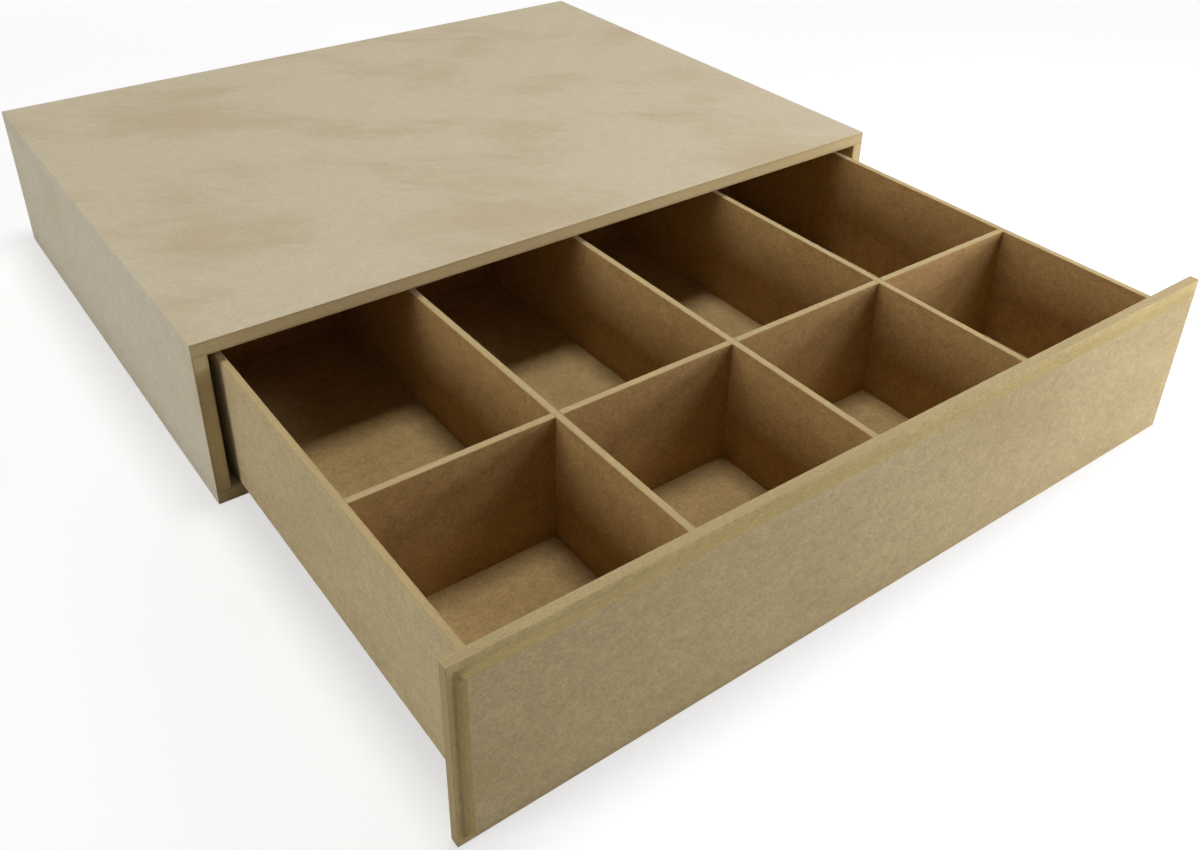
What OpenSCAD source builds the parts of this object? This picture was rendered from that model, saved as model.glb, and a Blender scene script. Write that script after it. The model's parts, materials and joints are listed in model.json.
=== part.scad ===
// Cash box: a flat fibreboard case that holds one drawer with coin and note compartments.
// X runs to the right, Y to the back and Z up. The origin is the middle of the case's underside.

/* [Case] */
// Outside width of the case
case_w = 350; // [260:1:500]
// Outside depth of the case, without the drawer front
case_d = 270; // [210:1:400]
// Outside height of the case
case_h = 74; // [58:1:140]
// Thickness of the case boards
board_t = 6; // [4:0.5:12]

/* [Drawer box] */
// Thickness of the drawer's four walls
wall_t = 3; // [2:0.5:6]
// Thickness of the drawer's floor
floor_t = 3; // [2:0.5:6]
// Running gap between each side of the drawer and the case
side_gap = 4; // [1:0.5:6]
// Running gap under the drawer
seat_gap = 0.3; // [0.1:0.1:1]
// Gap between the drawer's walls and the case top
top_gap = 4.7; // [1:0.1:12]
// Gap behind the drawer when it is shut
rear_gap = 4; // [1:0.5:12]
// How far the drawer stands open
drawer_open = 179; // [0:1:200]

/* [Compartments] */
// Depth of a coin compartment, front to back
coin_cell_d = 77; // [50:1:110]
// Thickness of the dividers
divider_t = 3; // [2:0.5:5]
// Play in the half-lap slots where two dividers cross
lap_play = 0.2; // [0.1:0.05:0.5]

/* [Drawer front] */
// Thickness of the applied front
front_t = 6; // [5:0.5:12]
// Thickness left at the front's outer edge, behind the routed cove
front_edge_t = 4; // [2:0.5:4.5]
// Width of the flat ledge between the outer edge and the cove
ledge_w = 2.4; // [1:0.1:6]
// How far the front stops short of the case's top and underside
front_inset = 0.5; // [0:0.1:3]

/* [Brads] */
// Diameter of a brad's shank
brad_d = 1.2; // [0.8:0.1:1.6]
// Length of a brad with its head
brad_l = 20; // [12:1:30]
// Diameter of a brad's head
brad_head_d = 2; // [1.7:0.1:3]
// Height of a brad's head
brad_head_h = 0.6; // [0.4:0.1:1]
// How deep a head is set below the underside
brad_sink = 0.3; // [0.1:0.1:1]
// Radial play round a brad
brad_play = 0.05; // [0.02:0.01:0.1]
// Distance from a board's end to its first brad
brad_end = 25; // [15:1:60]

/* [Hidden] */

// Finishes
RAW_BOARD = [0.78, 0.71, 0.58];
FRONT_BOARD = [0.72, 0.64, 0.48];
THIN_BOARD = [0.70, 0.60, 0.44];
STEEL = [0.62, 0.62, 0.63];

// Over-travel of a cutting shape past the surface it cuts
past = 1;
// Segments of a brad and of the cove
brad_facets = 24;
cove_facets = 64;

// Case: the side and back boards stand between the top and the bottom board
upright_h = case_h - 2 * board_t;
inner_w = case_w - 2 * board_t;
case_front_y = -case_d / 2;
case_back_y = case_d / 2;

// Drawer box
drawer_w = inner_w - 2 * side_gap;
drawer_l = case_d - board_t - rear_gap;
drawer_h = upright_h - seat_gap - top_gap;
drawer_z = board_t + seat_gap;
drawer_y = case_front_y - drawer_open;
tray_w = drawer_w - 2 * wall_t;
tray_l = drawer_l - 2 * wall_t;
tray_y = drawer_y + wall_t;

// Dividers stand on the floor, flush with the walls
divider_z = drawer_z + floor_t;
divider_h = drawer_h - floor_t;
cross_y = tray_y + coin_cell_d;
columns = 4;
cell_w = (tray_w - (columns - 1) * divider_t) / columns;
lap_w = divider_t + lap_play;
lap_z = divider_z + divider_h / 2;

// Drawer front
front_h = case_h - 2 * front_inset;
front_y = drawer_y - front_t;
cove_r = front_t - front_edge_t;

// Brad places, as [x, y]: three under each side board and three under the back board
brad_side_x = case_w / 2 - board_t / 2;
brad_back_y = case_back_y - board_t / 2;
brad_row = [-1, 0, 1];
brad_places = concat(
    [for (side = [-1, 1], k = brad_row) [side * brad_side_x, k * (case_d / 2 - brad_end)]],
    [for (k = brad_row) [k * (inner_w / 2 - brad_end), brad_back_y]]);

// Left face of long divider n, counted from 1 at the left
function long_divider_x(n) = -tray_w / 2 + n * cell_w + (n - 1) * divider_t;

// A flat board of the given size with its lowest corner at the given place
module board(size, at) {
    translate(at) cube(size);
}

// A brad standing on its head; grow widens it all round for its hole
module brad(grow = 0) {
    $fn = brad_facets;
    translate([0, 0, brad_sink]) cylinder(d = brad_d + 2 * grow, h = brad_l + grow);
    translate([0, 0, brad_sink]) cylinder(d = brad_head_d + 2 * grow, h = brad_head_h + grow);
}

// The hole of one brad, open at the underside
module brad_hole() {
    brad(brad_play);
    translate([0, 0, -past])
        cylinder(d = brad_head_d + 2 * brad_play, h = past + brad_sink + brad_play, $fn = brad_facets);
}

module brad_holes() {
    for (place = brad_places) translate([place[0], place[1], 0]) brad_hole();
}

module top_panel() {
    color(RAW_BOARD)
        board([case_w, case_d, board_t], [-case_w / 2, case_front_y, case_h - board_t]);
}

module bottom_panel() {
    color(RAW_BOARD) difference() {
        board([case_w, case_d, board_t], [-case_w / 2, case_front_y, 0]);
        brad_holes();
    }
}

// side is -1 for the left board and 1 for the right one
module case_side(side) {
    color(RAW_BOARD) difference() {
        board([board_t, case_d, upright_h], [side * brad_side_x - board_t / 2, case_front_y, board_t]);
        brad_holes();
    }
}

module left_side_panel() {
    case_side(-1);
}

module right_side_panel() {
    case_side(1);
}

module back_panel() {
    color(RAW_BOARD) difference() {
        board([inner_w, board_t, upright_h], [-inner_w / 2, case_back_y - board_t, board_t]);
        brad_holes();
    }
}

module bottom_panel_brads() {
    color(STEEL) for (place = brad_places) translate([place[0], place[1], 0]) brad();
}

// The routed groove along one edge of the front: an edge of length len lies on the X axis,
// the board is on +Z, and its show face is at y = 0
module edge_rout(len) {
    translate([-len / 2 - past, -past, -past])
        cube([len + 2 * past, past + cove_r, past + ledge_w]);
    translate([-len / 2 - past, 0, ledge_w]) rotate([0, 90, 0])
        cylinder(r = cove_r, h = len + 2 * past, $fn = cove_facets);
}

module drawer_front_panel() {
    color(FRONT_BOARD) translate([0, front_y, case_h / 2]) difference() {
        board([case_w, front_t, front_h], [-case_w / 2, 0, -front_h / 2]);
        for (turn = [0, 180])
            rotate([0, turn, 0]) translate([0, 0, -front_h / 2]) edge_rout(case_w);
        for (turn = [90, 270])
            rotate([0, turn, 0]) translate([0, 0, -case_w / 2]) edge_rout(front_h);
    }
}

module drawer_inner_front() {
    color(THIN_BOARD) board([tray_w, wall_t, drawer_h], [-tray_w / 2, drawer_y, drawer_z]);
}

// side is -1 for the left wall and 1 for the right one
module drawer_side(side) {
    color(THIN_BOARD)
        board([wall_t, drawer_l, drawer_h],
              [side * (drawer_w - wall_t) / 2 - wall_t / 2, drawer_y, drawer_z]);
}

module drawer_left_side() {
    drawer_side(-1);
}

module drawer_right_side() {
    drawer_side(1);
}

module drawer_back() {
    color(THIN_BOARD)
        board([tray_w, wall_t, drawer_h], [-tray_w / 2, drawer_y + drawer_l - wall_t, drawer_z]);
}

module drawer_floor() {
    color(THIN_BOARD) board([tray_w, tray_l, floor_t], [-tray_w / 2, tray_y, drawer_z]);
}

// Runs across the drawer; slots in its upper half take the long dividers
module cross_divider() {
    color(THIN_BOARD) difference() {
        board([tray_w, divider_t, divider_h], [-tray_w / 2, cross_y, divider_z]);
        for (n = [1 : columns - 1])
            board([lap_w, divider_t + 2 * past, divider_h],
                  [long_divider_x(n) - lap_play / 2, cross_y - past, lap_z - lap_play / 2]);
    }
}

// Runs front to back; a slot in its lower half straddles the cross divider
module long_divider(n) {
    color(THIN_BOARD) difference() {
        board([divider_t, tray_l, divider_h], [long_divider_x(n), tray_y, divider_z]);
        board([divider_t + 2 * past, lap_w, divider_h],
              [long_divider_x(n) - past, cross_y - lap_play / 2, lap_z + lap_play / 2 - divider_h]);
    }
}

module long_divider_left() {
    long_divider(1);
}

module long_divider_middle() {
    long_divider(2);
}

module long_divider_right() {
    long_divider(3);
}

top_panel();
bottom_panel();
left_side_panel();
right_side_panel();
back_panel();
bottom_panel_brads();
drawer_front_panel();
drawer_inner_front();
drawer_left_side();
drawer_right_side();
drawer_back();
drawer_floor();
cross_divider();
long_divider_left();
long_divider_middle();
long_divider_right();
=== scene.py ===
"""The looks of a raw fibreboard cash box with one drawer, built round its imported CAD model."""

import json
import math

import bmesh
import bpy
from mathutils import Matrix, Quaternion, Vector, noise


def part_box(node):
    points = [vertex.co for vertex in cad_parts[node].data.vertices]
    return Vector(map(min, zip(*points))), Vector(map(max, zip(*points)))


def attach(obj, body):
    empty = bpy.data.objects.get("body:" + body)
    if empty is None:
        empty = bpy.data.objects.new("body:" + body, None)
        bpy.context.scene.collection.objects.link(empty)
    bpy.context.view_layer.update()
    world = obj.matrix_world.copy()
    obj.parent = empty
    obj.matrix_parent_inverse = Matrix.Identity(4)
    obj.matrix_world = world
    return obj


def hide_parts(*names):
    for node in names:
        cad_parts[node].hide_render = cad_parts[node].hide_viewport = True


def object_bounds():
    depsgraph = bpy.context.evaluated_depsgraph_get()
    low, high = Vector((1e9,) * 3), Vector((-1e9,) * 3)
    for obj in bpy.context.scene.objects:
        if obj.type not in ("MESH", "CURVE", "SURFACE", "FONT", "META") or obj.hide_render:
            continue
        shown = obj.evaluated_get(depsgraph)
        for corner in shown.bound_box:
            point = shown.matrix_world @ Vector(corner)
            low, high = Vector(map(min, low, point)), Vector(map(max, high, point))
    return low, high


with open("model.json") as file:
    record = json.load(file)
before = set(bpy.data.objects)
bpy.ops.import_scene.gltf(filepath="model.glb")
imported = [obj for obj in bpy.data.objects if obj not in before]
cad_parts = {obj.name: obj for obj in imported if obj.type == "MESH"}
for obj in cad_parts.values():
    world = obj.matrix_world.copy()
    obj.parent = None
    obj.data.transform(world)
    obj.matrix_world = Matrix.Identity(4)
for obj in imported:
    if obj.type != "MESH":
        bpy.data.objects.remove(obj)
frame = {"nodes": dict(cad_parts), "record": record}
cad_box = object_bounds()

MM = 0.001
AXES = (0, 1, 2)
record = frame["record"]
body_of = {node: body for body, nodes in record["behaviour"]["bodies"].items() for node in nodes}


# ---------------------------------------------------------------- shader nodes


class Shader:
    """A material or world whose nodes are made and linked by short calls. Sizes in it are millimetres."""

    def __init__(self, name, kind="materials"):
        self.owner = getattr(bpy.data, kind).new(name)
        self.owner.use_nodes = True
        self.tree = self.owner.node_tree
        self.tree.nodes.clear()

    def node(self, kind, inputs=None, **settings):
        """Adds a node. inputs gives each named socket a link, if its value is a socket, or a plain value."""
        made = self.tree.nodes.new(kind)
        for key, value in settings.items():
            setattr(made, key, value)
        for key, value in (inputs or {}).items():
            if isinstance(value, bpy.types.NodeSocket):
                self.tree.links.new(value, made.inputs[key])
            else:
                made.inputs[key].default_value = value
        return made

    def grain(self):
        """Place on the board: along it, across it and through its thickness, in millimetres."""
        return self.node("ShaderNodeAttribute", attribute_name="grain").outputs["Vector"]

    def placed(self, where, size, turn=0.0):
        """Coordinates turned about the board's normal, with one unit as long as the size along each axis."""
        turned = self.node("ShaderNodeVectorRotate", {"Vector": where, "Angle": math.radians(turn)},
                           rotation_type="Z_AXIS").outputs["Vector"]
        per_unit = [1 / length for length in size]
        made = self.node("ShaderNodeVectorMath", {0: turned, 1: per_unit}, operation="MULTIPLY")
        return made.outputs["Vector"]

    def noise(self, where, size, detail=2.0, rough=0.5, turn=0.0, warp=0.0):
        """Soft noise round 0.5 with features of the given size."""
        at = self.placed(where, size, turn)
        made = self.node("ShaderNodeTexNoise", {"Vector": at, "Scale": 1.0, "Detail": detail,
                                                "Roughness": rough, "Distortion": warp})
        return made.outputs["Fac"]

    def between(self, value, low, high):
        """The value stretched so that low is 0 and high is 1, with a smooth start and end."""
        made = self.node("ShaderNodeMapRange", {"Value": value, "From Min": low, "From Max": high},
                         interpolation_type="SMOOTHSTEP")
        return made.outputs["Result"]

    def math(self, operation, a, b=0.0, c=0.0):
        return self.node("ShaderNodeMath", {0: a, 1: b, 2: c}, operation=operation).outputs["Value"]

    def average(self, *values):
        total = values[0]
        for value in values[1:]:
            total = self.math("ADD", total, value)
        return self.math("DIVIDE", total, len(values))

    def sway(self, tone, value, amount):
        """The tone, darker by half the amount where the value is 0 and lighter by as much where it is 1."""
        return self.math("MULTIPLY_ADD", value, amount, self.math("SUBTRACT", tone, amount / 2))

    def blend(self, factor, a, b):
        """Colour a, passing into colour b as the factor goes from 0 to 1."""
        made = self.node("ShaderNodeMix", data_type="RGBA")
        for key, value in (("Factor_Float", factor), ("A_Color", a), ("B_Color", b)):
            socket = next(i for i in made.inputs if i.identifier == key)
            if isinstance(value, bpy.types.NodeSocket):
                self.tree.links.new(value, socket)
            else:
                socket.default_value = value if key == "Factor_Float" else (*value, 1)
        return next(o for o in made.outputs if o.identifier == "Result_Color")

    def shade(self, colour, value):
        """The colour times a value near 1."""
        return self.node("ShaderNodeHueSaturation", {"Color": colour, "Value": value}).outputs["Color"]

    def finish(self, colour, rough, height, bump_height, bump_strength, **constants):
        """Ends the material in one Principled shader, with bumps as high as bump_height in millimetres."""
        normal = self.node("ShaderNodeBump", {"Height": height, "Distance": bump_height * MM,
                                              "Strength": bump_strength})
        shader = self.node("ShaderNodeBsdfPrincipled", {"Base Color": colour, "Roughness": rough,
                                                        "Normal": normal.outputs["Normal"]})
        for key, value in constants.items():
            shader.inputs[key.replace("_", " ")].default_value = value
        end = self.node("ShaderNodeOutputMaterial")
        self.tree.links.new(shader.outputs["BSDF"], end.inputs["Surface"])
        return self.owner


# ---------------------------------------------------------------- finishes

# Sizes of what marks a board, in millimetres along it, across it and through its thickness
PATCHES = (70, 46, 60)
SWIRLS = (34, 12, 20)
MOTTLES = (5.2, 4.4, 4.0)
TUFTS = (1.15, 1.0, 1.1)
FLECKS = (1.1, 0.6, 0.8)
SPECK_RIMS = (0.5, 0.5, 0.5)
EDGE_DRIFTS = (38, 38, 9)
EDGE_WAVES = (9, 9, 2)
EDGE_STREAKS = (3.2, 3.2, 0.24)
EDGE_TUFTS = (0.9, 0.9, 0.4)
EDGE_PORES = (0.6, 0.6, 0.28)
FIBRE_LENGTH = 1.6
FIBRE_WIDTH = 0.5
FIBRE_TURNS = (17, 71, 139)  # degrees

# How strongly they show: the difference they make to the tone, or how far they reach the dark colour
MOTTLE_TONE = 0.24
TUFT_TONE = 0.62
FELT_TONE = 0.40
EDGE_STREAK_TONE = 0.40
EDGE_TUFT_TONE = 0.40
EDGE_DRIFT_TONE = 0.20
FLECK_DARK = 0.30
SPECK_DARK = 0.65
SPECK_SHADE = 0.35           # a speck's colour, as a share of the dark one
PORE_DARK = 0.35
SWIRL_SHARE = 0.26           # what swirls add to the clouds; patches are the rest


def fibres(s, where):
    """Short fibres that lie every way in the board's plane, round 0.5."""
    size = (FIBRE_LENGTH, FIBRE_WIDTH, FIBRE_WIDTH)
    return s.average(*(s.noise(where, size, detail=1.0, turn=turn, warp=1.5) for turn in FIBRE_TURNS))


def specks(s, where, spacing, radius, share):
    """1 in sparse small specks of bark, and 0 elsewhere. The places for them lie the spacing apart, and the
    share says how many of those hold one."""
    at = s.placed(where, (spacing, spacing, spacing))
    cells = s.node("ShaderNodeTexVoronoi", {"Vector": at, "Scale": 1.0}, feature="F1").outputs
    lot = s.node("ShaderNodeSeparateColor", {"Color": cells["Color"]}).outputs["Red"]
    chosen = s.math("LESS_THAN", lot, share)
    reach = s.math("MULTIPLY", s.noise(where, SPECK_RIMS, detail=1.0), 2 * radius / spacing)
    near = s.math("LESS_THAN", cells["Distance"], reach)
    return s.math("MULTIPLY", chosen, near)


def board_skin(name, pale, warm, dark, cloud, grit):
    """The smooth pressed face of raw fibreboard: pale with warm clouds, felted fibres and a few dark specks.
    cloud is how far the clouds reach the warm colour, and grit how strongly the fibres show."""
    s = Shader(name)
    where = s.grain()
    patch = s.noise(where, PATCHES, rough=0.45, turn=24, warp=0.25)
    swirl = s.noise(where, SWIRLS, detail=3.0, rough=0.55, turn=38, warp=1.6)
    mixed = s.math("MULTIPLY_ADD", swirl, SWIRL_SHARE, s.math("MULTIPLY", patch, 1 - SWIRL_SHARE))
    clouds = s.between(mixed, 0.45, 0.66)
    colour = s.blend(s.math("MULTIPLY", clouds, cloud), pale, warm)

    tufts = s.noise(where, TUFTS, detail=3.0, rough=0.65, turn=35, warp=0.8)
    felt = fibres(s, where)
    tone = s.sway(1.0, s.noise(where, MOTTLES, rough=0.55, warp=0.5), MOTTLE_TONE * grit)
    tone = s.sway(tone, tufts, TUFT_TONE * grit)
    tone = s.sway(tone, felt, FELT_TONE * grit)
    colour = s.shade(colour, tone)

    flecks = s.between(s.noise(where, FLECKS, rough=0.6), 0.62, 0.80)
    colour = s.blend(s.math("MULTIPLY", flecks, FLECK_DARK * grit), colour, dark)
    small = specks(s, where, spacing=17.0, radius=0.34, share=0.45)
    large = specks(s, where, spacing=60.0, radius=0.75, share=0.35)
    bark = [SPECK_SHADE * channel for channel in dark]
    colour = s.blend(s.math("MULTIPLY", s.math("MAXIMUM", small, large), SPECK_DARK), colour, bark)

    rough = s.math("MULTIPLY_ADD", felt, 0.22, 0.70)
    return s.finish(colour, rough, s.average(felt, tufts), bump_height=0.06, bump_strength=0.5,
                    Specular_IOR_Level=0.11, Sheen_Weight=0.05)


def board_edge(name, core, rim, dark, layer, grit=1.0, one_sided=False):
    """A cut edge of the board, with streaks along it and torn fibres. Its colour is core in the middle of
    the thickness and rim further out; layer is where it passes from one to the other, in mm from the middle.
    A one-sided edge has its rim only towards the lower side, which is the drawer front's show face."""
    s = Shader(name)
    where = s.grain()
    level = s.node("ShaderNodeSeparateXYZ", {"Vector": where}).outputs["Z"]
    depth = s.math("MULTIPLY", level, -1.0) if one_sided else s.math("ABSOLUTE", level)
    waver = 0.6 * (layer[1] - layer[0])
    wave = s.math("SUBTRACT", s.noise(where, EDGE_WAVES), 0.5)
    outward = s.between(s.math("ADD", depth, s.math("MULTIPLY", wave, waver)), *layer)
    colour = s.blend(outward, core, rim)

    streaks = s.noise(where, EDGE_STREAKS, detail=3.0, rough=0.6)
    tufts = s.noise(where, EDGE_TUFTS, rough=0.6)
    tone = s.sway(1.0, streaks, EDGE_STREAK_TONE * grit)
    tone = s.sway(tone, tufts, EDGE_TUFT_TONE * grit)
    tone = s.sway(tone, s.noise(where, EDGE_DRIFTS), EDGE_DRIFT_TONE)
    colour = s.shade(colour, tone)

    pores = s.between(s.noise(where, EDGE_PORES, rough=0.65), 0.62, 0.78)
    colour = s.blend(s.math("MULTIPLY", pores, PORE_DARK * grit), colour, dark)
    rough = s.math("MULTIPLY_ADD", tufts, 0.15, 0.82)
    return s.finish(colour, rough, s.average(streaks, tufts), bump_height=0.12, bump_strength=0.7,
                    Specular_IOR_Level=0.1, Sheen_Weight=0.12)


def brad_metal(name):
    """Bright drawn wire with faint rings and a little tarnish."""
    s = Shader(name)
    metres = s.node("ShaderNodeTexCoord").outputs["Object"]
    where = s.placed(metres, (MM, MM, MM))
    rings = s.noise(where, (1.5, 1.5, 0.12))
    tarnish = s.between(s.noise(where, (0.8, 0.8, 0.8), detail=3.0, rough=0.6), 0.45, 0.75)
    colour = s.blend(tarnish, (0.62, 0.62, 0.63), (0.33, 0.30, 0.27))
    rough = s.math("MULTIPLY_ADD", tarnish, 0.25, s.math("MULTIPLY_ADD", rings, 0.12, 0.26))
    return s.finish(colour, rough, rings, bump_height=0.02, bump_strength=0.4, Metallic=1.0)


# ---------------------------------------------------------------- boards

SOFT = 0.38 * MM       # rounding of a worn edge on a 6 mm board
THIN_SOFT = 0.30 * MM  # the same on a 3 mm board
JOINT = 0.05 * MM      # rounding of an edge that was sanded flush with its neighbour
WEAR = ((7 * MM, 0.5), (2.2 * MM, 0.3))   # size and strength of the unevenness of a worn edge
CELL = 6 * MM          # size of a 6 mm board's quads
THIN_CELL = 3 * MM     # size of a 3 mm board's quads
HALF_ARC = math.tan(math.radians(22.5))   # for grid lines half-way between a rounding's middle and ends
SHARP = math.radians(50)                  # faces that meet at more than this are shaded apart
GRAIN_STEP = (431, 197)                   # from one board's places to the next one's, in mm
FACES, EDGES, SPECIAL_SIDES = 0, 1, 2     # places of a board's materials in its look


def grid_lines(low, high, soft, cell):
    """Places of a board's grid lines along one axis, with extra ones in its rounded edges."""
    count = max(1, round((high - low - 2 * soft) / cell))
    inner = [low + soft + (high - low - 2 * soft) * k / count for k in range(count + 1)]
    turn = soft * (1 - HALF_ARC)
    return [low, low + turn, *inner, high - turn, high]


def box_surface(lines):
    """A closed box of quads on the given grid lines."""
    bm = bmesh.new()
    made = {}
    last = [len(places) - 1 for places in lines]

    def vert(index):
        if index not in made:
            made[index] = bm.verts.new([lines[a][index[a]] for a in AXES])
        return made[index]

    for axis in AXES:
        u, v = (axis + 1) % 3, (axis + 2) % 3
        for end in (0, last[axis]):
            for i in range(last[u]):
                for j in range(last[v]):
                    corners = []
                    for di, dj in ((0, 0), (1, 0), (1, 1), (0, 1)):
                        index = [end] * 3
                        index[u], index[v] = i + di, j + dj
                        corners.append(vert(tuple(index)))
                    bm.faces.new(corners if end else corners[::-1])
    return bm


def soften(bm, low, high, soft, joints):
    """Rounds a box's edges. Those of the sides named in joints, such as "-z", stay nearly sharp."""
    for vert in bm.verts:
        p = vert.co.copy()
        near = set()
        for a in AXES:
            if p[a] < low[a] + soft:
                near.add("-" + "xyz"[a])
            if p[a] > high[a] - soft:
                near.add("+" + "xyz"[a])
        share = 1.0
        for size, strength in WEAR:
            share += strength * noise.noise(p / size)
        radius = JOINT if near & joints else soft * min(1.0, share)
        inner = Vector([min(max(p[a], low[a] + radius), high[a] - radius) for a in AXES])
        out = p - inner
        if out.length > 0:
            vert.co = inner + out.normalized() * radius


def as_piece(name, bm, materials):
    """An object with the bmesh as its mesh, shaded smooth."""
    mesh = bpy.data.meshes.new(name)
    bm.to_mesh(mesh)
    bm.free()
    for polygon in mesh.polygons:
        polygon.use_smooth = True
    for material in materials:
        mesh.materials.append(material)
    piece = bpy.data.objects.new(name, mesh)
    bpy.context.scene.collection.objects.link(piece)
    return piece


def cut_away(piece, cutter_bm):
    """Cuts the closed shapes of a bmesh out of a piece."""
    cutter = as_piece("cutter", cutter_bm, [])
    cut = piece.modifiers.new("cut", "BOOLEAN")
    cut.operation, cut.solver, cut.object = "DIFFERENCE", "EXACT", cutter
    apply_modifiers(piece)
    bpy.data.objects.remove(cutter)


def apply_modifiers(piece):
    """Turns a piece's modifiers into mesh."""
    graph = bpy.context.evaluated_depsgraph_get()
    made = bpy.data.meshes.new_from_object(piece.evaluated_get(graph), depsgraph=graph)
    made.name = piece.name
    piece.modifiers.clear()
    piece.data = made


def level_faces(piece):
    """Keeps the shading of the wide flat faces flat, up to the start of their rounded edges, and keeps cut
    edges and mitres sharp."""
    piece.data.set_sharp_from_angle(angle=SHARP)
    flat = piece.modifiers.new("flat", "WEIGHTED_NORMAL")
    flat.weight = 100
    flat.keep_sharp = True
    apply_modifiers(piece)


def board_axes(low, high):
    """A board's axes from its longest side to its thickness."""
    return sorted(AXES, key=lambda a: low[a] - high[a])


def add_grain(mesh, low, high, number):
    """Stores each point's place on the board in millimetres: along, across and through it. Each board's
    places start far from the others', so that no two boards look alike."""
    order = board_axes(low, high)
    middle = (low + high) / 2
    attribute = mesh.attributes.new("grain", "FLOAT_VECTOR", "POINT")
    for vert, value in zip(mesh.vertices, attribute.data):
        along, across, through = ((vert.co[a] - middle[a]) / MM for a in order)
        value.vector = (along + GRAIN_STEP[0] * number, across + GRAIN_STEP[1] * number, through)


def put(piece, node, low, high):
    """Gives a finished piece its grain and its place in the frame."""
    add_grain(piece.data, low, high, sorted(body_of).index(node))
    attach(piece, body_of[node])
    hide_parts(node)


def box_cutter(bm, low, high):
    """Adds a closed box to a bmesh of cutters."""
    middle, size = (low + high) / 2, high - low
    bmesh.ops.create_cube(bm, size=1, matrix=Matrix.Translation(middle) @ Matrix.Diagonal((*size, 1)))


def side_name(direction):
    """The side that a direction points to, such as "-z"."""
    axis = max(AXES, key=lambda a: abs(direction[a]))
    return ("+" if direction[axis] > 0 else "-") + "xyz"[axis]


def board(node, look, joints=(), soft=SOFT, cell=CELL, cutters=None, special=()):
    """A detailed board in place of a CAD node. look holds the materials of its faces, of its edges and of
    the sides named in special. joints names the sides that meet other boards flush, and cutters is a bmesh
    of what is cut out of the board."""
    low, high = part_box(node)
    bm = box_surface([grid_lines(low[a], high[a], soft, cell) for a in AXES])
    soften(bm, low, high, soft, set(joints))
    piece = as_piece(node + "_board", bm, look)
    if cutters:
        cut_away(piece, cutters)
    level_faces(piece)
    through = "xyz"[board_axes(low, high)[2]]
    for polygon in piece.data.polygons:
        side = side_name(polygon.normal)
        if side in special:
            polygon.material_index = SPECIAL_SIDES
        else:
            polygon.material_index = FACES if side.endswith(through) else EDGES
    put(piece, node, low, high)


# ---------------------------------------------------------------- drawer front

FRONT_EDGE = 4.0 * MM   # thickness left at the front's outer edge
FRONT_SOFT = 0.3 * MM   # rounding of that edge
LEDGE = 2.4 * MM        # flat ledge between that edge and the cove
COVE_WIDTH = 2.4 * MM
COVE_BEND = 16          # degrees that the shallow cove turns through
ARRIS = 0.25 * MM       # rounding where the cove meets the show face
ROUTED = FRONT_EDGE - 0.01 * MM  # what lies further than this from the back is ledge or cove
FUZZ = 0.05 * MM        # unevenness of the routed surface
FUZZ_SIZE = 3 * MM
FRONT_CELL = 4 * MM     # size of the front's quads
LONG_EDGES, END_EDGES, COVE_FACES = 1, 2, 3  # places in the front's look; its first is for the flat faces


def arc(middle, radius, start, end, count):
    """Points on an arc, as (inset, depth), from one angle to another in degrees."""
    angles = [math.radians(start + (end - start) * k / count) for k in range(count + 1)]
    return [(middle[0] + radius * math.cos(a), middle[1] + radius * math.sin(a)) for a in angles]


def hollow(start, end, bend, count):
    """Points on the arc that sags between two places and turns through bend degrees on its way."""
    start, end = Vector(start), Vector(end)
    chord, half = end - start, math.radians(bend / 2)
    radius = chord.length / (2 * math.sin(half))
    aside = Vector((-chord.y, chord.x)).normalized()
    middle = (start + end) / 2 + aside * radius * math.cos(half)
    first = math.degrees(math.atan2(start.y - middle.y, start.x - middle.x))
    return arc(middle, radius, first, first + bend, count)


def front_profile(thickness):
    """The front's cross-section from its back face, round its outer edge and up the cove to its show face,
    as (inset from the outline, depth from the back)."""
    points = arc((FRONT_SOFT, FRONT_SOFT), FRONT_SOFT, 270, 180, 4)
    points += arc((FRONT_SOFT, FRONT_EDGE - FRONT_SOFT), FRONT_SOFT, 180, 90, 4)
    steepest = math.degrees(math.atan2(thickness - FRONT_EDGE, COVE_WIDTH)) + COVE_BEND / 2
    arris = arc((LEDGE + COVE_WIDTH + ARRIS, thickness - ARRIS), ARRIS, 90 + steepest, 90, 3)
    return points + hollow((LEDGE, FRONT_EDGE), arris[0], COVE_BEND, 10)[:-1] + arris


def front_rim(across, up):
    """Grid places round the front's outline, starting at its lowest left corner and going right."""
    rim = [(i, 0) for i in range(across)] + [(across, j) for j in range(up)]
    return rim + [(i, up) for i in range(across, 0, -1)] + [(0, j) for j in range(up, 0, -1)]


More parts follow.
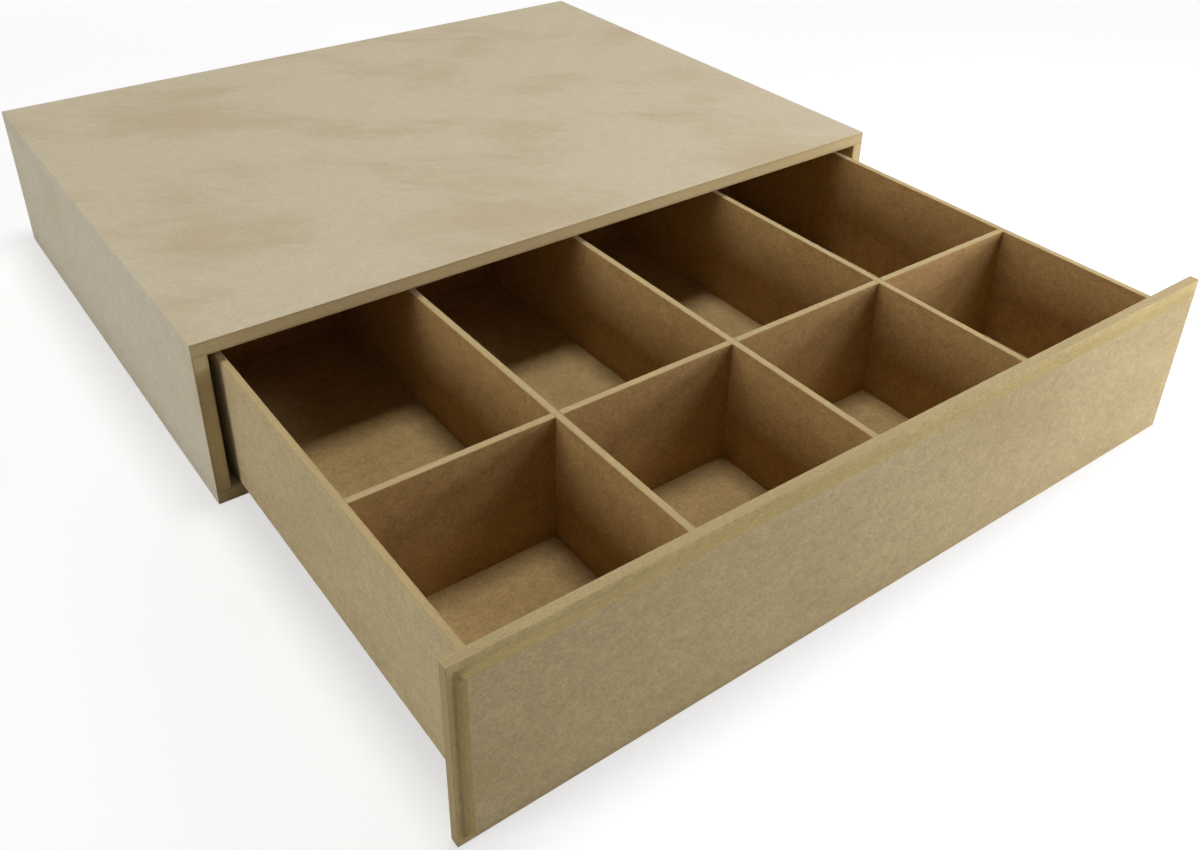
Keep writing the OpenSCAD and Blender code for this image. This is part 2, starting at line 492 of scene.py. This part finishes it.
def drawer_front(node, look):
    """The applied front: a flat board with a ledge and a cove routed round its show face."""
    low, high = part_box(node)
    middle, size = (low + high) / 2, high - low
    across, up = round(size.x / FRONT_CELL), round(size.z / FRONT_CELL)
    rim = front_rim(across, up)
    profile = front_profile(size.y)
    bm = bmesh.new()

    def point(inset, depth, i, j):
        x = (size.x / 2 - inset) * (2 * i / across - 1)
        z = (size.z / 2 - inset) * (2 * j / up - 1)
        return Vector((middle.x + x, high.y - depth, middle.z + z))

    rings = []
    for inset, depth in profile:
        places = [point(inset, depth, i, j) for i, j in rim]
        if ROUTED < depth < size.y - ARRIS:
            places = [place + Vector((0, FUZZ * noise.noise(place / FUZZ_SIZE), 0)) for place in places]
        rings.append([bm.verts.new(place) for place in places])

    for first, second, (_, depth) in zip(rings, rings[1:], profile):
        for k, (_, j) in enumerate(rim):
            n = (k + 1) % len(rim)
            edge = END_EDGES if rim[n][1] != j else LONG_EDGES
            face = bm.faces.new((first[k], first[n], second[n], second[k]))
            face.material_index = COVE_FACES if depth > ROUTED else edge

    for ring, (inset, depth), is_back in ((rings[0], profile[0], True), (rings[-1], profile[-1], False)):
        rim_verts = dict(zip(rim, ring))
        grid = {}
        for i in range(across + 1):
            for j in range(up + 1):
                grid[i, j] = rim_verts.get((i, j)) or bm.verts.new(point(inset, depth, i, j))
        for i in range(across):
            for j in range(up):
                corners = (grid[i, j], grid[i + 1, j], grid[i + 1, j + 1], grid[i, j + 1])
                bm.faces.new(corners[::-1] if is_back else corners)

    piece = as_piece(node + "_board", bm, look)
    level_faces(piece)
    put(piece, node, low, high)


# ---------------------------------------------------------------- materials

CASE_BARK = (0.26, 0.18, 0.10)  # the dark colours of flecks, specks and torn fibres
# Specks and flecks inside the drawer and the case: real bark specks, made far darker as painted shade
TRAY_BARK_PAINTED_SHADE = (0.12, 0.07, 0.03)
TORN = (0.20, 0.13, 0.06)
CASE_LAYER = (1.4, 3.0)   # mm from a board's middle, where its core passes into its rim
FRONT_LAYER = (1.0, 1.8)
THIN_LAYER = (0.7, 1.5)

TOP_FACE = board_skin("case_top_face", pale=(0.600, 0.513, 0.356), warm=(0.540, 0.440, 0.280),
                      dark=CASE_BARK, cloud=1.0, grit=0.6)
SIDE_FACE = board_skin("case_side_face", pale=(0.585, 0.525, 0.400), warm=(0.545, 0.470, 0.335),
                       dark=CASE_BARK, cloud=0.8, grit=0.9)
CASE_EDGE = board_edge("case_board_edge", core=(0.50, 0.38, 0.187), rim=(0.40, 0.298, 0.14),
                       dark=TORN, layer=CASE_LAYER)
FRONT_FACE = board_skin("front_board_face", pale=(0.437, 0.338, 0.170), warm=(0.399, 0.303, 0.143),
                        dark=(0.20, 0.14, 0.07), cloud=0.8, grit=1.3)
FRONT_EDGES = board_edge("front_board_edges", core=(0.448, 0.342, 0.166), rim=(0.392, 0.297, 0.131),
                         dark=TORN, layer=FRONT_LAYER, grit=1.5, one_sided=True)
FRONT_ENDS = board_edge("front_board_ends", core=(0.365, 0.274, 0.128), rim=(0.375, 0.283, 0.122),
                        dark=(0.18, 0.12, 0.05), layer=FRONT_LAYER, one_sided=True)
FRONT_COVE = board_edge("front_board_cove", core=(0.458, 0.346, 0.146), rim=(0.402, 0.303, 0.124),
                        dark=TORN, layer=FRONT_LAYER, grit=1.3, one_sided=True)
THIN_FACE = board_skin("thin_board_face", pale=(0.495, 0.392, 0.218), warm=(0.440, 0.336, 0.175),
                       dark=(0.18, 0.12, 0.06), cloud=0.6, grit=1.4)
# Inner faces of the drawer's walls and dividers and of the case: the thin board's colour, darker and more
# saturated than its outer faces, as painted shade inside the drawer and the case
TRAY_FACE_PAINTED_SHADE = board_skin("thin_board_tray_face_painted_shade", pale=(0.424, 0.265, 0.102), warm=(0.367, 0.222, 0.078),
                       dark=TRAY_BARK_PAINTED_SHADE, cloud=0.6, grit=1.8)
# The drawer floor's top face: darker and more saturated than the board's outer faces as painted shade inside
# the drawer, yet lighter than the walls inside as painted light from above
FLOOR_FACE_PAINTED_LIGHT_SHADE = board_skin("thin_board_floor_face_painted_light_shade", pale=(0.520, 0.362, 0.160), warm=(0.462, 0.312, 0.130),
                        dark=TRAY_BARK_PAINTED_SHADE, cloud=0.6, grit=1.5)
THIN_EDGE = board_edge("thin_board_edge", core=(0.50, 0.373, 0.18), rim=(0.43, 0.313, 0.146),
                       dark=(0.24, 0.16, 0.08), layer=THIN_LAYER)

top_look = [TOP_FACE, CASE_EDGE, SIDE_FACE]
bottom_look = [SIDE_FACE, CASE_EDGE, SIDE_FACE]
# The case's upright boards: painted shade on their inner faces, in the darker tray colour
upright_look = [SIDE_FACE, CASE_EDGE, TRAY_FACE_PAINTED_SHADE]
front_look = [FRONT_FACE, FRONT_EDGES, FRONT_ENDS, FRONT_COVE]
# The drawer's walls: painted shade on their inner faces, in the darker tray colour
wall_look = [THIN_FACE, THIN_EDGE, TRAY_FACE_PAINTED_SHADE]
# The drawer floor: painted light and shade on its top face
floor_look = [THIN_FACE, THIN_EDGE, FLOOR_FACE_PAINTED_LIGHT_SHADE]
# The dividers stand inside the drawer and are painted shade all over, in the darker tray colour
divider_look = [TRAY_FACE_PAINTED_SHADE, THIN_EDGE]

# ---------------------------------------------------------------- case

HEAD_PLAY = 0.05 * MM   # clearance round a brad's head
HEAD_HOLE = 1.1 * MM    # depth of its hole in the underside


def separate_solids(node):
    """(lowest corner, highest corner) of each separate solid of a CAD node."""
    bm = bmesh.new()
    bm.from_mesh(frame["nodes"][node].data)
    bmesh.ops.remove_doubles(bm, verts=bm.verts, dist=0.001 * MM)
    left = set(bm.verts)
    found = []
    while left:
        group = set()
        reached = {left.pop()}
        while reached:
            vert = reached.pop()
            group.add(vert)
            reached |= {edge.other_vert(vert) for edge in vert.link_edges} - group
        left -= group
        low, high = (Vector([end(v.co[a] for v in group) for a in AXES]) for end in (min, max))
        found.append((low, high))
    bm.free()
    return sorted(found, key=lambda corners: tuple(corners[0]))


def brad_holes():
    """Round cutters, centred at the underside, that clear the brads' heads."""
    bm = bmesh.new()
    for low, high in separate_solids("bottom_panel_brads"):
        radius = (high.x - low.x) / 2 + HEAD_PLAY
        place = Matrix.Translation(((low.x + high.x) / 2, (low.y + high.y) / 2, 0))
        bmesh.ops.create_cone(bm, cap_ends=True, segments=32, radius1=radius, radius2=radius,
                              depth=2 * HEAD_HOLE, matrix=place)
    return bm


board("top_panel", top_look, joints=("-z",), special=("-x", "+x"))
board("bottom_panel", bottom_look, joints=("+z",), special=("-x", "+x"), cutters=brad_holes())
# The sides named in special here are the inner faces, which get the painted-shade tray colour
board("left_side_panel", upright_look, joints=("-z", "+z"), special=("+x",))
board("right_side_panel", upright_look, joints=("-z", "+z"), special=("-x",))
board("back_panel", upright_look, joints=("-x", "+x", "-z", "+z"), special=("-y",))
brads = frame["nodes"]["bottom_panel_brads"]
brads.data.materials.clear()
brads.data.materials.append(brad_metal("brad_steel"))

# ---------------------------------------------------------------- drawer

DIVIDERS = ("long_divider_left", "long_divider_middle", "long_divider_right")
LAP_PLAY = 0.02 * MM   # clearance on each side of a half-lap slot
PAST = 1 * MM          # how far a cutter reaches past the surface it cuts


def lap_slots(node, others, upper):
    """Slots for the boards that cross a divider, in its upper or its lower half."""
    low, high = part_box(node)
    half = (low.z + high.z) / 2
    through = board_axes(low, high)[2]
    bm = bmesh.new()
    for other in others:
        first, last = (corner.copy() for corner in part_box(other))
        first -= Vector((LAP_PLAY,) * 3)
        last += Vector((LAP_PLAY,) * 3)
        first[through], last[through] = low[through] - PAST, high[through] + PAST
        if upper:
            first.z, last.z = half - LAP_PLAY, high.z + PAST
        else:
            first.z, last.z = low.z - PAST, half + LAP_PLAY
        box_cutter(bm, first, last)
    return bm


thin_board = {"soft": THIN_SOFT, "cell": THIN_CELL}
drawer_front("drawer_front_panel", front_look)
# The special sides of the drawer's boards face into the drawer and get painted shade; the floor's top gets
# painted light and shade
board("drawer_inner_front", wall_look, joints=("-x", "+x"), special=("+y",), **thin_board)
board("drawer_left_side", wall_look, joints=("-y",), special=("+x",), **thin_board)
board("drawer_right_side", wall_look, joints=("-y",), special=("-x",), **thin_board)
board("drawer_back", wall_look, joints=("-x", "+x"), special=("-y",), **thin_board)
board("drawer_floor", floor_look, joints=("-x", "+x", "-y", "+y"), soft=THIN_SOFT, special=("+z",))
slots = lap_slots("cross_divider", DIVIDERS, True)
board("cross_divider", divider_look, joints=("-x", "+x", "-z"), cutters=slots, **thin_board)
for divider in DIVIDERS:
    slot = lap_slots(divider, ("cross_divider",), False)
    board(divider, divider_look, joints=("-y", "+y", "-z"), cutters=slot, **thin_board)

# ---------------------------------------------------------------- stage, lights and camera

FLOOR_BOUNCE = (0.8, 0.8, 0.8, 1)   # colour of the floor as it lights the object
FLOOR_SHADED = (0.5, 0.5, 0.5, 1)   # its seen colour, which takes the shadow,
FLOOR_LIFT = 0.6                    # and the glow that is added to it
FLOOR_FADE = (0.35, 1.0)            # metres from the middle, from where to where it turns plain white
FLOOR_REACH = 8
WORLD_GLOW = 0.04
centre = (cad_box[0] + cad_box[1]) / 2

# The camera, placed from the middle of the case's underside: metres, degrees and millimetres
CAMERA_PLACE = (-0.27155, -0.50926, 0.30906)
CAMERA_AZIMUTH = -36.893
CAMERA_ELEVATION = 31.232
CAMERA_ROLL = 1.088
CAMERA_LENS = 35.73
CAMERA_SHIFT = -0.0958


def background_rays(s):
    """1 for the rays that show the background itself, and 0 for those that carry its light to the object."""
    rays = s.node("ShaderNodeLightPath").outputs
    reflected = s.math("MAXIMUM", rays["Is Glossy Ray"], rays["Is Transmission Ray"])
    return s.math("MAXIMUM", rays["Is Camera Ray"], reflected)


def floor():
    """A white floor that keeps the object's soft shadow and turns plain white further out."""
    s = Shader("floor")
    lit = s.node("ShaderNodeBsdfDiffuse", {"Color": FLOOR_BOUNCE}).outputs["BSDF"]
    shaded = s.node("ShaderNodeBsdfDiffuse", {"Color": FLOOR_SHADED}).outputs["BSDF"]
    lift = s.node("ShaderNodeEmission", {"Strength": FLOOR_LIFT}).outputs["Emission"]
    near = s.node("ShaderNodeAddShader", {0: shaded, 1: lift}).outputs["Shader"]
    white = s.node("ShaderNodeEmission", {"Strength": 1.0}).outputs["Emission"]
    place = s.node("ShaderNodeTexCoord").outputs["Object"]
    distance = s.node("ShaderNodeVectorMath", {0: place}, operation="LENGTH").outputs["Value"]
    far = s.between(distance, *FLOOR_FADE)
    seen = s.node("ShaderNodeMixShader", {0: far, 1: near, 2: white}).outputs["Shader"]
    both = s.node("ShaderNodeMixShader", {0: background_rays(s), 1: lit, 2: seen}).outputs["Shader"]
    s.node("ShaderNodeOutputMaterial", {"Surface": both})
    bm = bmesh.new()
    bmesh.ops.create_grid(bm, x_segments=1, y_segments=1, size=FLOOR_REACH)
    as_piece("floor", bm, [s.owner])


def surroundings():
    """A white world that gives the object only a little light from all round."""
    s = Shader("surroundings", "worlds")
    glow = s.node("ShaderNodeBackground", {"Strength": WORLD_GLOW}).outputs["Background"]
    white = s.node("ShaderNodeBackground", {"Color": (1, 1, 1, 1), "Strength": 1.0}).outputs["Background"]
    both = s.node("ShaderNodeMixShader", {0: background_rays(s), 1: glow, 2: white}).outputs["Shader"]
    s.node("ShaderNodeOutputWorld", {"Surface": both})
    bpy.context.scene.world = s.owner


def softbox(name, place, size, power, colour=(1, 1, 1)):
    """A square area light that faces the object's middle."""
    light = bpy.data.lights.new(name, "AREA")
    light.size, light.energy, light.color = size, power, colour
    lamp = bpy.data.objects.new(name, light)
    lamp.location = place
    lamp.visible_camera = False
    lamp.rotation_mode = "QUATERNION"
    lamp.rotation_quaternion = (Vector(place) - centre).to_track_quat("Z", "Y")
    bpy.context.scene.collection.objects.link(lamp)


def photo_camera():
    """A camera at the photograph's viewing angle."""
    azimuth, elevation = math.radians(CAMERA_AZIMUTH), math.radians(CAMERA_ELEVATION)
    back = Vector((math.sin(azimuth) * math.cos(elevation), -math.cos(azimuth) * math.cos(elevation),
                   math.sin(elevation)))
    data = bpy.data.cameras.new("camera")
    data.sensor_width = 36.0
    data.lens = CAMERA_LENS
    data.shift_y = CAMERA_SHIFT
    data.clip_start, data.clip_end = 0.01, 50
    camera = bpy.data.objects.new("camera", data)
    camera.location = CAMERA_PLACE
    camera.rotation_mode = "QUATERNION"
    roll = Quaternion((0, 0, 1), math.radians(CAMERA_ROLL))
    camera.rotation_quaternion = back.to_track_quat("Z", "Y") @ roll
    bpy.context.scene.collection.objects.link(camera)
    bpy.context.scene.camera = camera


floor()
surroundings()
softbox("overhead", (0.1, -0.1, 1.6), size=0.4, power=10.7)
softbox("behind", (0.2, 1.4, 1.2), size=0.9, power=8.2)
softbox("left", (-1.5, -0.1, 0.4), size=0.5, power=8.3)
softbox("right", (0.45, -0.55, 0.5), size=0.3, power=1.7, colour=(0.98, 1.0, 1.06))
softbox("low_right", (0.53, -0.64, 0.15), size=0.25, power=2.97, colour=(0.98, 1.0, 1.12))
photo_camera()
bpy.context.scene.view_settings.view_transform = "Standard"
